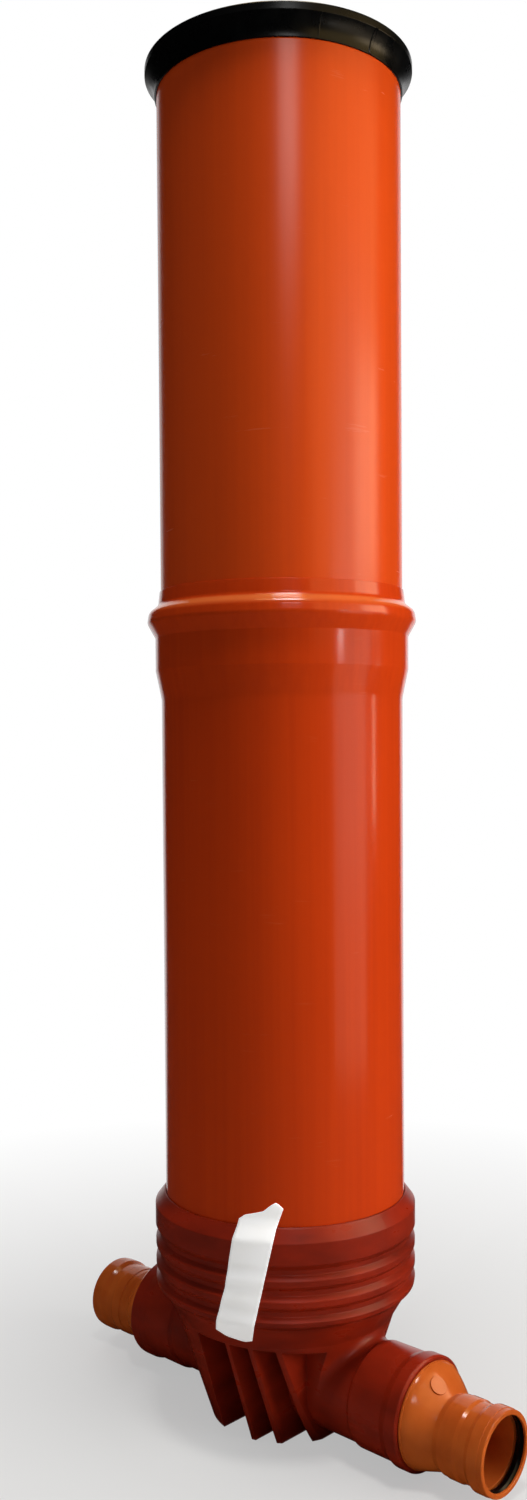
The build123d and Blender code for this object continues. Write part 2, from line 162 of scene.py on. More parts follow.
# Lower riser: extruded pipe of orange-brown PVC, 400 mm across. Its top end was heated
# and drawn over a mandrel to a socket with a bead for the ring. The plain foot is pushed
# into the collar of the base as far as its stop.
PIPE_ORANGE_LOW = "#D6420F"
PIPE_ORANGE_LOW_DEEP = "#C5370B"
PIPE_WALL = 9.8 * MM
PIPE_CHAMFER = 3 * MM
PIPE_CHAMFER_H = 9 * MM
SLIDE_GAP = 0.4 * MM
SOCKET_LIP_WALL = 1.6 * MM
SOCKET_LIP_H = 23 * MM
SOCKET_BARREL_WALL = 9.2 * MM
SOCKET_BEAD_H = 53 * MM
SOCKET_BEAD_RISE = 13.2 * MM
BEAD_UNDERSIDE = 24 * MM
BEAD_SHOULDER = 12 * MM
BEAD_SHOULDER_RISE = 10.5 * MM
SOCKET_BARREL_H = 54 * MM
SOCKET_SWELL_H = 47 * MM
SOCKET_LEDGE = 2.9 * MM
RING_H = 25 * MM
RING_DEPTH = 13.5 * MM
# Painted highlight colour for the bead's shoulder, and the height over which it fades in.
PAINTED_TOPLIGHT_ORANGE = "#EA8442"
PAINTED_TOPLIGHT_SPREAD = 4 * MM
SCUFF_ORANGE = "#E58A5C"
EXTRUSION_STREAK = 5 * MM
PIPE_CLOUD = 160 * MM
SCUFF_W = 2.2 * MM
SCUFF_ZONE = 30 * MM
PVC_IOR = 1.53
SHARP_ANGLE = math.radians(38)
RISER_TURNS = 256


def rounded(*corners, steps=8):
    """Closed outline of (station, radius, rounding) corners, each turned into an arc."""
    outline = []
    for i, (station, radius, bend) in enumerate(corners):
        here = Vector((station, radius))
        if bend == 0:
            outline.append(here)
            continue
        back = (Vector(corners[i - 1][:2]) - here).normalized()
        ahead = (Vector(corners[(i + 1) % len(corners)][:2]) - here).normalized()
        half = 0.5 * back.angle(ahead)
        centre = here + (back + ahead).normalized() * bend / math.sin(half)
        first = here + back * bend / math.tan(half) - centre
        last = here + ahead * bend / math.tan(half) - centre
        outline += [
            centre + first.slerp(last, k / steps).normalized() * bend for k in range(steps + 1)
        ]
    return outline


def upright(station, radius, angle):
    """Point of a piece turned about the riser axis."""
    return radius * math.cos(angle), radius * math.sin(angle), station


def even_turns(count):
    """Angles of an evenly divided full turn."""
    return [2 * math.pi * i / count for i in range(count)]


def turned(name, outline, place, material, angles):
    """Ring-shaped piece from a closed outline carried round an axis."""
    mesh = bpy.data.meshes.new(name)
    count = len(outline)
    vertices = [place(*point, angle) for angle in angles for point in outline]
    faces = []
    for t in range(len(angles)):
        here, there = t * count, (t + 1) % len(angles) * count
        for i in range(count):
            j = (i + 1) % count
            faces.append((here + i, here + j, there + j, there + i))
    mesh.from_pydata(vertices, [], faces)
    work = bmesh.new()
    work.from_mesh(mesh)
    bmesh.ops.remove_doubles(work, verts=work.verts, dist=0.001 * MM)
    bmesh.ops.recalc_face_normals(work, faces=work.faces)
    work.to_mesh(mesh)
    work.free()
    mesh.shade_smooth()
    mesh.set_sharp_from_angle(angle=SHARP_ANGLE)
    mesh.materials.append(material)
    piece = bpy.data.objects.new(name, mesh)
    bpy.context.scene.collection.objects.link(piece)
    piece.modifiers.new("flat_faces", "WEIGHTED_NORMAL").keep_sharp = True
    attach(piece, "root")
    return piece


def extruded_pvc(name, light, deep, roughness):
    """Extruded PVC: glossy skin with faint streaks along the pipe from the die and the
    calibrator, soft uneven colour and a few dull scuffs round it from handling."""
    material, tree, shader, coords = surface(name)
    patterns = []
    for size, stretch, detail in (
        (EXTRUSION_STREAK, (1, 1, 0.012), 4),
        (PIPE_CLOUD, (1, 1, 0.5), 2),
        (SCUFF_W, (0.06, 0.06, 1), 5),
        (SCUFF_ZONE, (1, 1, 1), 2),
    ):
        drawn = add(tree, "ShaderNodeMapping", {"Vector": coords, "Scale": stretch}).outputs[0]
        inputs = {"Vector": drawn, "Scale": patch_scale(size), "Detail": detail}
        patterns.append(add(tree, "ShaderNodeTexNoise", inputs).outputs[0])
    streaks, clouds, scuffs, zones = patterns
    tone = add(tree, "ShaderNodeMath", [streaks, clouds], operation="MULTIPLY").outputs[0]
    share = add(tree, "ShaderNodeMapRange", [tone, 0.05, 0.6, 0, 1]).outputs[0]
    colours = {0: share, 6: linear(light), 7: linear(deep)}
    body = add(tree, "ShaderNodeMix", colours, data_type="RGBA").outputs[2]
    marks = add(tree, "ShaderNodeMath", [scuffs, zones], operation="MULTIPLY").outputs[0]
    worn = add(tree, "ShaderNodeMapRange", [marks, 0.42, 0.54, 0, 0.14]).outputs[0]
    colours = {0: worn, 6: body, 7: linear(SCUFF_ORANGE)}
    skin = add(tree, "ShaderNodeMix", colours, data_type="RGBA").outputs[2]
    inputs = [streaks, 0.3, 0.7, roughness, roughness + 0.03]
    gloss = add(tree, "ShaderNodeMapRange", inputs).outputs[0]
    dull = add(tree, "ShaderNodeMath", [gloss, worn], operation="ADD").outputs[0]
    inputs = {"Strength": 0.015, "Distance": 0.25 * MM, "Height": streaks}
    bump = add(tree, "ShaderNodeBump", inputs).outputs[0]
    feed(tree, shader, {
        "Base Color": skin,
        "Roughness": dull,
        "IOR": PVC_IOR,
        "Specular IOR Level": SKIN_SHINE,
        "Normal": bump,
    })
    return material


lower_low, lower_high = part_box("lower_riser_pipe")
upper_low, upper_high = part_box("upper_riser_pipe")
pipe_r = upper_high.x
bore_r = pipe_r - PIPE_WALL
seat_r = pipe_r + SLIDE_GAP
barrel_r = seat_r + SOCKET_BARREL_WALL
bead_top = lower_high.z - SOCKET_LIP_H
bead_bottom = bead_top - SOCKET_BEAD_H
barrel_bottom = bead_bottom - SOCKET_BARREL_H
swell_bottom = barrel_bottom - SOCKET_SWELL_H
ring_top = bead_top - 0.5 * (SOCKET_BEAD_H - RING_H)
lower_pvc = extruded_pvc("extruded_pvc_lower", PIPE_ORANGE_LOW, PIPE_ORANGE_LOW_DEEP, 0.14)

# Painted highlight: the shoulder of the bead is coloured paler, as light from above shows it.
tree = lower_pvc.node_tree
coords = tree.nodes["Texture Coordinate"].outputs["Object"]
height = add(tree, "ShaderNodeSeparateXYZ", [coords]).outputs["Z"]
skin = tree.nodes["Principled BSDF"].inputs["Base Color"]
plain = skin.links[0].from_socket
shoulder_z = bead_top - BEAD_SHOULDER
inputs = [height, shoulder_z - PAINTED_TOPLIGHT_SPREAD, shoulder_z + PAINTED_TOPLIGHT_SPREAD, 0, 0.5]
share = add(tree, "ShaderNodeMapRange", inputs).outputs[0]
colours = {0: share, 6: plain, 7: linear(PAINTED_TOPLIGHT_ORANGE)}
painted_toplight = add(tree, "ShaderNodeMix", colours, data_type="RGBA").outputs[2]
inputs = [height, bead_top - PAINTED_TOPLIGHT_SPREAD, bead_top, 0, 1]
share = add(tree, "ShaderNodeMapRange", inputs).outputs[0]
whole = add(tree, "ShaderNodeMix", {0: share, 6: painted_toplight, 7: plain}, data_type="RGBA").outputs[2]
tree.links.new(whole, skin)
lower_outline = rounded(
    (lower_low.z, bore_r, 0.8 * MM),
    (lower_low.z, pipe_r - PIPE_CHAMFER, 0.8 * MM),
    (lower_low.z + PIPE_CHAMFER_H, pipe_r, 3 * MM),
    (swell_bottom, pipe_r, 60 * MM),
    (barrel_bottom, barrel_r, 6 * MM),
    (bead_bottom, barrel_r, 4 * MM),
    (bead_bottom + BEAD_UNDERSIDE, barrel_r + SOCKET_BEAD_RISE, 12 * MM),
    (shoulder_z, barrel_r + BEAD_SHOULDER_RISE, 14 * MM),
    (bead_top, barrel_r - 5 * MM, 10 * MM),
    (lower_high.z, seat_r + SOCKET_LIP_WALL, 0.7 * MM),
    (lower_high.z, seat_r, 0.6 * MM),
    (ring_top, seat_r, 1 * MM),
    (ring_top, seat_r + RING_DEPTH, 2 * MM),
    (ring_top - RING_H, seat_r + RING_DEPTH, 2 * MM),
    (ring_top - RING_H, seat_r, 1 * MM),
    (upper_low.z, seat_r, 0.6 * MM),
    (upper_low.z, seat_r - SOCKET_LEDGE, 0.6 * MM),
    (swell_bottom, bore_r, 20 * MM),
)
lower_riser = turned(
    "lower_riser", lower_outline, upright, lower_pvc, even_turns(RISER_TURNS)
)
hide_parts("lower_riser_pipe")
dress("riser_socket_ring", seal_rubber)

# Upper riser: a plain length of the same PVC pipe with sawn ends, chamfered at the foot
# to enter the socket of the lower one. It is given a brighter, more orange colour.
PIPE_ORANGE_HIGH = "#E24D11"
PIPE_ORANGE_HIGH_DEEP = "#D7460F"
upper_pvc = extruded_pvc("extruded_pvc_upper", PIPE_ORANGE_HIGH, PIPE_ORANGE_HIGH_DEEP, 0.22)
upper_outline = rounded(
    (upper_low.z, bore_r, 0.8 * MM),
    (upper_low.z, pipe_r - PIPE_CHAMFER, 0.8 * MM),
    (upper_low.z + PIPE_CHAMFER_H, pipe_r, 3 * MM),
    (upper_high.z, pipe_r, 0.6 * MM),
    (upper_high.z, bore_r, 0.6 * MM),
)
upper_riser = turned(
    "upper_riser", upper_outline, upright, upper_pvc, even_turns(RISER_TURNS)
)
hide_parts("upper_riser_pipe")

# Top seal: a flared ring of black rubber stretched over the end of the upper riser. Its
# web crosses the pipe wall, and its sleeve grips the telescopic pipe of the cover. A
# moulded tick and the parting line of the mould stand on the flare.
CAP_SKIRT_H = 40 * MM
CAP_RIM_H = 13 * MM
CAP_LIP_WALL = 3 * MM
CAP_GAP = 0.3 * MM
CAP_BORE_R = 158 * MM
CAP_BORE_CHAMFER = 14 * MM
CAP_SLEEVE_WALL = 7 * MM
CAP_INNER_GAP = 4 * MM
CAP_WEB_SLOPE_H = 16.5 * MM
CAP_FLARE_POWER = 2.3
CAP_FLARE_STEPS = 16
TICK_ANGLE = math.radians(-3.4)
TICK_W = 3.2 * MM
TICK_RISE = 1.6 * MM
PARTING_ANGLE = math.radians(-29.8)
PARTING_W = 0.9 * MM
PARTING_RISE = 0.35 * MM

cap_low, cap_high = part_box("telescope_seal")
cap_skirt = upper_high.z - CAP_SKIRT_H
cap_rim = cap_high.z - CAP_RIM_H
skirt_r = pipe_r + CAP_GAP
cap_flare = cap_high.x - skirt_r - CAP_LIP_WALL
sleeve_r = CAP_BORE_R + CAP_SLEEVE_WALL
flare = []
for i in range(1, CAP_FLARE_STEPS):
    share = i / CAP_FLARE_STEPS
    radius = skirt_r + CAP_LIP_WALL + cap_flare * share**CAP_FLARE_POWER
    flare.append((cap_skirt + (cap_rim - cap_skirt) * share, radius, 0))
cap_outline = rounded(
    (cap_skirt, skirt_r + CAP_LIP_WALL, 1.2 * MM),
    *flare,
    (cap_rim, cap_high.x, 1.5 * MM),
    (cap_high.z, cap_high.x, 3 * MM),
    (cap_high.z, CAP_BORE_R + CAP_BORE_CHAMFER, 6 * MM),
    (cap_high.z - CAP_BORE_CHAMFER, CAP_BORE_R, 6 * MM),
    (cap_low.z, CAP_BORE_R, 1.5 * MM),
    (cap_low.z, sleeve_r, 1.5 * MM),
    (upper_high.z - CAP_WEB_SLOPE_H, sleeve_r, 4 * MM),
    (upper_high.z, bore_r - CAP_INNER_GAP, 1.5 * MM),
    (upper_high.z, skirt_r, 0.5 * MM),
    (cap_skirt, skirt_r, 0.8 * MM),
)


def on_seal(station, radius, angle):
    """Point of the seal, raised at the tick and at the parting line."""
    if radius > skirt_r + 0.5 * CAP_LIP_WALL and cap_skirt < station < cap_rim:
        for middle, width, rise in (
            (TICK_ANGLE, TICK_W, TICK_RISE),
            (PARTING_ANGLE, PARTING_W, PARTING_RISE),
        ):
            off = abs((angle - middle + math.pi) % (2 * math.pi) - math.pi) * radius
            radius += rise * max(0, min(1, 2 * (1 - off / width)))
    return upright(station, radius, angle)


seal_angles = set(even_turns(RISER_TURNS))
for middle, width in ((TICK_ANGLE, TICK_W), (PARTING_ANGLE, PARTING_W)):
    for share in (-1, -0.75, -0.5, 0, 0.5, 0.75, 1):
        seal_angles.add((middle + share * width / cap_high.x) % (2 * math.pi))
seal = turned(
    "flared_top_seal", cap_outline, on_seal, seal_rubber, sorted(seal_angles)
)
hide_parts("telescope_seal")

# Reducers: eccentric fittings of tan PVC, moulded in one piece. A spigot fills the run
# socket of the base up to a thin collar, a domed shoulder drops to the smaller pipe with
# the inverts nearly level, and a socket with a rolled rim ends it.
REDUCER_TAN = "#D06426"
REDUCER_TAN_DEEP = "#BC521A"
REDUCER_FLOW_MARK = 30 * MM
REDUCER_GRAIN = 3 * MM
REDUCER_TURNS = 192
HANDS = ((1, "right"), (-1, "left"))
CHANNEL_Z = 88 * MM
OUTLET_Z = 75 * MM
SPIGOT_R = 80 * MM
REDUCER_WALL = 4 * MM
REDUCER_NOSE = 6 * MM
REDUCER_COLLAR_RISE = 1.6 * MM
REDUCER_COLLAR_W = 3 * MM
RUN_SOCKET_LIP = 1 * MM
SHOULDER_LENGTH = 40.5 * MM
SHOULDER_BULGE = 1.35
SHOULDER_STEPS = 14
NECK_R = 57 * MM
NECK_LENGTH = 10 * MM
OUTLET_R = 55.3 * MM
OUTLET_WALL = 4.7 * MM
LINE_START = 19 * MM
LINE_LENGTH = 19 * MM
LINE_RISE = 1.2 * MM
WAIST_RAMP = 6 * MM
WAIST_WALL = 3.9 * MM
STOP_LEAD = 20.5 * MM
STOP_RAMP = 4 * MM
OUTLET_RING_LENGTH = 18 * MM
OUTLET_RING_INSET = 4 * MM
OUTLET_RING_DEPTH = 5.4 * MM
RIM_WALL = 3.3 * MM
RIM_MARGIN = 4 * MM
RIM_RAMP = 8 * MM
LIP_LENGTH = 9 * MM
LIP_STEP = 0.8 * MM

# Moulded PVC: a polished mould leaves a bright even gloss, with swirls where it filled.
reducer_pvc, tree, shader, coords = surface("moulded_pvc_tan")
inputs = {"Vector": coords, "Scale": patch_scale(REDUCER_FLOW_MARK), "Detail": 5}
swirl = add(tree, "ShaderNodeTexNoise", inputs).outputs[0]
inputs = {"Vector": coords, "Scale": patch_scale(REDUCER_GRAIN), "Detail": 3}
grain = add(tree, "ShaderNodeTexNoise", inputs).outputs[0]
share = add(tree, "ShaderNodeMapRange", [swirl, 0.35, 0.7, 0, 1]).outputs[0]
colours = {0: share, 6: linear(REDUCER_TAN), 7: linear(REDUCER_TAN_DEEP)}
skin = add(tree, "ShaderNodeMix", colours, data_type="RGBA").outputs[2]
gloss = add(tree, "ShaderNodeMapRange", [grain, 0.3, 0.7, 0.12, 0.2]).outputs[0]
inputs = {"Strength": 0.05, "Distance": 0.3 * MM, "Height": swirl}
bump = add(tree, "ShaderNodeBump", inputs).outputs[0]
feed(tree, shader, {
    "Base Color": skin,
    "Roughness": gloss,
    "IOR": PVC_IOR,
    "Specular IOR Level": SKIN_SHINE,
    "Normal": bump,
})

base_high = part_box("chamber_base")[1]
right_low, right_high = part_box("right_reducer")
collar_start = base_high.x + RUN_SOCKET_LIP
shoulder_start = collar_start + REDUCER_COLLAR_W
shoulder_end = shoulder_start + SHOULDER_LENGTH
outlet_end = right_high.x


def drop(station):
    """Share of the way from the run's axis and size down to the outlet's."""
    along = max(0, min(1, (station - shoulder_start) / SHOULDER_LENGTH))
    return along**SHOULDER_BULGE * (1 - along) + along * along


def along_run(side):
    """Places points of a reducer, on the right with side 1 and on the left with -1."""
    def place(station, radius, angle):
        centre = CHANNEL_Z + (OUTLET_Z - CHANNEL_Z) * drop(station)
        across = side * radius * math.sin(angle)
        return side * station, across, centre + radius * math.cos(angle)
    return place


def shoulder(inset, start_step, end_step):
    """Outline points over the dome between two of its steps."""
    points = []
    step = 1 if end_step > start_step else -1
    for i in range(start_step, end_step + step, step):
        station = shoulder_start + SHOULDER_LENGTH * i / SHOULDER_STEPS
        radius = SPIGOT_R + (NECK_R - SPIGOT_R) * drop(station) - inset
        points.append((station, radius, 0))
    return points


wall_r = OUTLET_R + OUTLET_WALL
waist_r = OUTLET_R + WAIST_WALL
outlet_ring_r = OUTLET_R + OUTLET_RING_DEPTH
rim_r = outlet_ring_r + RIM_WALL
outlet_ring_end = outlet_end - OUTLET_RING_INSET
outlet_ring_start = outlet_ring_end - OUTLET_RING_LENGTH
rim_start = outlet_ring_start - RIM_MARGIN
outlet_stop = shoulder_end + STOP_LEAD
line_start = shoulder_end + LINE_START
line_end = line_start + LINE_LENGTH
neck_bore_r = NECK_R - REDUCER_WALL
reducer_outline = rounded(
    (right_low.x, SPIGOT_R - REDUCER_WALL, 0.5 * MM),
    (right_low.x, SPIGOT_R - 2 * MM, 0.5 * MM),
    (right_low.x + REDUCER_NOSE, SPIGOT_R, 2 * MM),
    (collar_start, SPIGOT_R, 0.3 * MM),
    (collar_start, SPIGOT_R + REDUCER_COLLAR_RISE, 0.6 * MM),
    (shoulder_start, SPIGOT_R + REDUCER_COLLAR_RISE, 0.6 * MM),
    *shoulder(0, 0, SHOULDER_STEPS - 2),
    (shoulder_end, NECK_R, 2.5 * MM),
    (shoulder_end + NECK_LENGTH, wall_r, 3 * MM),
    (line_start, wall_r, 0.3 * MM),
    (line_start, wall_r + LINE_RISE, 0.5 * MM),
    (line_end, wall_r + LINE_RISE, 2 * MM),
    (line_end + WAIST_RAMP, waist_r, 3 * MM),
    (rim_start - RIM_RAMP, waist_r, 4 * MM),
    (rim_start, rim_r, 2.5 * MM),
    (outlet_end - LIP_LENGTH, rim_r, 0.4 * MM),
    (outlet_end - LIP_LENGTH, rim_r - LIP_STEP, 0.3 * MM),
    (outlet_end, rim_r - LIP_STEP, 2 * MM),
    (outlet_end, OUTLET_R, 1.5 * MM),
    (outlet_ring_end, OUTLET_R, 0.4 * MM),
    (outlet_ring_end, outlet_ring_r, 0.6 * MM),
    (outlet_ring_start, outlet_ring_r, 0.6 * MM),
    (outlet_ring_start, OUTLET_R, 0.4 * MM),
    (outlet_stop, OUTLET_R, 0.5 * MM),
    (outlet_stop - STOP_RAMP, neck_bore_r, 1 * MM),
    (shoulder_end, neck_bore_r, 2 * MM),
    *shoulder(REDUCER_WALL, SHOULDER_STEPS - 2, 1),
    (shoulder_start, SPIGOT_R - REDUCER_WALL, 0),
)
for side, hand in HANDS:
    reducer = turned(
        hand + "_eccentric_reducer",
        reducer_outline,
        along_run(side),
        reducer_pvc,
        even_turns(REDUCER_TURNS),
    )
    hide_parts(hand + "_reducer")

# Gate boss: the flat round pad on each dome where the mould was filled, 28 mm across and
# cut off flush, a little towards the front of the chamber on the right reducer.
GATE_R = 14 * MM
GATE_RISE = 1.6 * MM
GATE_SINK = 3 * MM
GATE_LEAN = math.radians(13)
GATE_ALONG = 0.57
GATE_TURNS = 72
SLOPE_STEP = 2 * MM

gate_station = shoulder_start + GATE_ALONG * SHOULDER_LENGTH
gate_drop = drop(gate_station)
next_drop = drop(gate_station + SLOPE_STEP)
gate_radius = SPIGOT_R + (NECK_R - SPIGOT_R) * gate_drop
gate_height = CHANNEL_Z + (OUTLET_Z - CHANNEL_Z) * gate_drop
gate_fall = (SPIGOT_R + CHANNEL_Z - NECK_R - OUTLET_Z) * (next_drop - gate_drop) / SLOPE_STEP
gate_outline = rounded(
    (-GATE_SINK, 0, 0),
    (-GATE_SINK, GATE_R, 0.5 * MM),
    (GATE_RISE, GATE_R, 0.7 * MM),
    (GATE_RISE, 0, 0),
)


def on_dome(side):
    """Places points of the boss, standing off the dome of the reducer on a side."""
    outward = Vector((side * gate_fall, -side * math.sin(GATE_LEAN), math.cos(GATE_LEAN)))
    foot = Vector((
        side * gate_station,
        -side * gate_radius * math.sin(GATE_LEAN),
        gate_height + gate_radius * math.cos(GATE_LEAN),
    ))
    turn = outward.to_track_quat("Z", "Y")

    def place(station, radius, angle):
        flat = Vector((radius * math.cos(angle), radius * math.sin(angle), station))
        return foot + turn @ flat
    return place


for side, hand in HANDS:
    turned(
        hand + "_gate_boss",
        gate_outline,
        on_dome(side),
        reducer_pvc,
        even_turns(GATE_TURNS),
    )

# Outlet rings: rubber rings held in the rims of the reducer sockets, black inside the
# mouth, with a back against the groove and a lip that bends on the pipe pushed in.
RING_CLEAR = 0.3 * MM
LIP_SHARE = 0.35
OUTLET_RING_TURNS = 160

ring_middle = 0.5 * (outlet_ring_start + outlet_ring_end)
ring_half = 0.5 * OUTLET_RING_LENGTH - RING_CLEAR
ring_outline = rounded(
    (ring_middle - ring_half, outlet_ring_r - RING_CLEAR, 0.8 * MM),
    (ring_middle + ring_half, outlet_ring_r - RING_CLEAR, 0.8 * MM),
    (ring_middle + LIP_SHARE * ring_half, OUTLET_R, 1.5 * MM),
    (ring_middle - LIP_SHARE * ring_half, OUTLET_R, 1.5 * MM),
)
for side, hand in HANDS:
    ring = turned(
        hand + "_outlet_lip_ring",
        ring_outline,
        along_run(side),
        seal_rubber,
        even_turns(OUTLET_RING_TURNS),
    )
    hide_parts(hand + "_outlet_ring")

# Label: a bare white strip of coated paper stuck from the foot of the riser down over the
# collar and its ribs. It bridges the grooves with a little sag, its tip leans on the
# pipe, and its lower end hangs free under the collar. It bears no print.
LABEL_WHITE = "#FFFFFF"
LABEL_CREAM = "#F2F0EA"
# Strength of the painted glow of the label, which emits light though it is no lamp.
LABEL_PAINTED_GLOW = 0.3
LABEL_T = 0.25 * MM
LABEL_OFF = 0.7 * MM
LABEL_SAG = 1.0 * MM
LABEL_CREASE = 9 * MM
LABEL_ROWS = 60
LABEL_COLUMNS = 12
GROOVE_HALF_W = 11 * MM
GROOVE_HEIGHTS = (246 * MM, 278.5 * MM, 311 * MM)

# The outline of the strip is in degrees round the riser and mm above the floor, and the
# collar's profile under it in mm above the floor and from the axis.
LABEL_TOP = ((-68.1, 388), (-65.2, 395), (-57.1, 402), (-53.7, 412), (-51.0, 417), (-48.1, 407))
LABEL_BOTTOM = ((-78.3, 211), (-73.7, 203), (-65.2, 197.5), (-61.8, 201))
LABEL_LEFT = ((-78.3, 211), (-72.8, 284), (-68.1, 388))
LABEL_RIGHT = ((-61.8, 201), (-55.4, 308), (-51.4, 375), (-48.1, 407))
COLLAR_PROFILE = ((190, 203), (228, 217.6), (361, 218), (379, 204.6), (390, 200.2), (420, 200.2))


def along_line(points, share):
    """Point at a share of the length of an open line."""
    points = [Vector(point) for point in points]
    legs = [(b - a).length for a, b in zip(points, points[1:])]
    left = share * sum(legs)
    for start, end, leg in zip(points, points[1:], legs):
        if left <= leg:
            return start.lerp(end, left / leg)
        left -= leg
    return points[-1]


def label_point(across, up):
    """Point of the label from shares of its width and height."""
    low, high = along_line(LABEL_BOTTOM, across), along_line(LABEL_TOP, across)
    left, right = along_line(LABEL_LEFT, up), along_line(LABEL_RIGHT, up)
    corners = Vector(LABEL_BOTTOM[0]).lerp(Vector(LABEL_BOTTOM[-1]), across).lerp(
        Vector(LABEL_TOP[0]).lerp(Vector(LABEL_TOP[-1]), across), up
    )
    spot = low.lerp(high, up) + left.lerp(right, across) - corners
    height = spot.y * MM
    for (z, r), (next_z, next_r) in zip(COLLAR_PROFILE, COLLAR_PROFILE[1:]):
        if z <= spot.y <= next_z:
            radius = (r + (next_r - r) * (spot.y - z) / (next_z - z)) * MM
    for groove in GROOVE_HEIGHTS:
        radius -= LABEL_SAG * max(0, 1 - ((height - groove) / GROOVE_HALF_W) ** 2)
    return upright(height, radius + LABEL_OFF, math.radians(spot.x))


label_mesh = bpy.data.meshes.new("bare_label")
points = [
    label_point(i / LABEL_COLUMNS, k / LABEL_ROWS)
    for k in range(LABEL_ROWS + 1)
    for i in range(LABEL_COLUMNS + 1)
]
quads = []
for k in range(LABEL_ROWS):
    for i in range(LABEL_COLUMNS):
        here = k * (LABEL_COLUMNS + 1) + i
        above = here + LABEL_COLUMNS + 1
        quads.append((here, here + 1, above + 1, above))
label_mesh.from_pydata(points, [], quads)
label_mesh.shade_smooth()

# Coated paper: nearly matt, with a soft sheen and faint creases across the strip. It is given
# a painted glow, so that it gives back a little more light than falls on it.
paper, tree, shader, coords = surface("coated_label_paper")
drawn = add(tree, "ShaderNodeMapping", {"Vector": coords, "Scale": (0.4, 0.4, 1)}).outputs[0]
inputs = {"Vector": drawn, "Scale": patch_scale(LABEL_CREASE), "Detail": 4}
creases = add(tree, "ShaderNodeTexNoise", inputs).outputs[0]
share = add(tree, "ShaderNodeMapRange", [creases, 0.4, 0.75, 0, 1]).outputs[0]
colours = {0: share, 6: linear(LABEL_WHITE), 7: linear(LABEL_CREAM)}
inputs = {"Strength": 0.12, "Distance": 0.6 * MM, "Height": creases}
feed(tree, shader, {
    "Base Color": add(tree, "ShaderNodeMix", colours, data_type="RGBA").outputs[2],
    "Roughness": 0.45,
    "Normal": add(tree, "ShaderNodeBump", inputs).outputs[0],
    # Painted glow: the paper emits light of its own to look whiter than the lamps make it.
    "Emission Color": linear(LABEL_WHITE),
    "Emission Strength": LABEL_PAINTED_GLOW,
})
label_mesh.materials.append(paper)
label = bpy.data.objects.new("bare_label", label_mesh)
bpy.context.scene.collection.objects.link(label)
sheet = label.modifiers.new("paper", "SOLIDIFY")
sheet.thickness = LABEL_T
sheet.offset = 1
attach(label, "root")

# Floor and light: a plain pale floor under soft lamps. A large soft lamp far to the right
# of the camera, a small one overhead and a dim even room light leave the left of the
# risers in shade, and a weaker lamp stands behind. The rest only add gleams.
FLOOR_SIZE = 14.0
FLOOR_FADE_START = 0.3
FLOOR_FADE_END = 1.8
FLOOR_FADE_LEAST = 0.45
FLOOR_GREY = "#C4C3C0"
ROOM_LIGHT = 0.17
LAMP_AIM_MAX = 1.9
WARM = (1.0, 0.80, 0.55)
TUNGSTEN = (1.0, 0.68, 0.25)
CAMERA_TURN = 0.745

floor_mesh = bpy.data.meshes.new("pale_floor")
half = 0.5 * FLOOR_SIZE
floor_mesh.from_pydata(
    [(-half, -half, 0), (half, -half, 0), (half, half, 0), (-half, half, 0)], [], [(0, 1, 2, 3)]
)
floor = bpy.data.objects.new("pale_floor", floor_mesh)
bpy.context.scene.collection.objects.link(floor)


def seen_rays(tree):
    """1 for rays from the camera, off a glossy surface or through a clear one, or else 0."""
    path = add(tree, "ShaderNodeLightPath").outputs
    total = path["Is Camera Ray"]
    for kind in ("Is Glossy Ray", "Is Transmission Ray"):
        inputs = [total, path[kind]]
        total = add(tree, "ShaderNodeMath", inputs, operation="ADD", use_clamp=True).outputs[0]
    return total


# Painted floor: pale and matt, fading to the white of the room away from the object.
floor_paint, tree, shader, coords = surface("painted_floor")
feed(tree, shader, {"Base Color": linear(FLOOR_GREY), "Roughness": 0.8})
away = add(tree, "ShaderNodeVectorMath", [coords], operation="LENGTH").outputs["Value"]
inputs = [away, FLOOR_FADE_START, FLOOR_FADE_END, FLOOR_FADE_LEAST, 1]
fade = add(tree, "ShaderNodeMapRange", inputs).outputs[0]
share = add(tree, "ShaderNodeMath", [fade, seen_rays(tree)], operation="MULTIPLY").outputs[0]
white = add(tree, "ShaderNodeEmission", {"Color": (1, 1, 1, 1), "Strength": 1.0}).outputs[0]
mix = add(tree, "ShaderNodeMixShader", [share, shader.outputs[0], white]).outputs[0]
tree.links.new(mix, tree.nodes["Material Output"].inputs["Surface"])
floor_mesh.materials.append(floor_paint)

world = bpy.data.worlds.new("white_room")
bpy.context.scene.world = world
world.use_nodes = True
tree = world.node_tree
tree.nodes.clear()
room = add(tree, "ShaderNodeBackground", {"Color": (1, 1, 1, 1), "Strength": ROOM_LIGHT})
white = add(tree, "ShaderNodeBackground", {"Color": (1, 1, 1, 1), "Strength": 1.0})
mix = add(tree, "ShaderNodeMixShader", [seen_rays(tree), room.outputs[0], white.outputs[0]])
add(tree, "ShaderNodeOutputWorld", {"Surface": mix.outputs[0]})


def soft_lamp(name, turn, distance, height, width, tall, watts, colour=(1, 1, 1)):
    """Rectangular soft lamp facing the riser axis, turned to the right of the camera."""
    data = bpy.data.lights.new(name, "AREA")
    data.shape = "RECTANGLE"
    data.size = width
    data.size_y = tall
    data.energy = watts
    data.color = colour
    lamp = bpy.data.objects.new(name, data)
    heading = CAMERA_TURN + math.radians(turn)
    spot = Vector((math.sin(heading), -math.cos(heading), 0)) * distance
    spot.z = height
    aim = Vector((0, 0, min(height, LAMP_AIM_MAX))) - spot
    lamp.matrix_world = Matrix.Translation(spot) @ aim.to_track_quat("-Z", "Y").to_matrix().to_4x4()
    lamp.visible_camera = False
    bpy.context.scene.collection.objects.link(lamp)
    return lamp


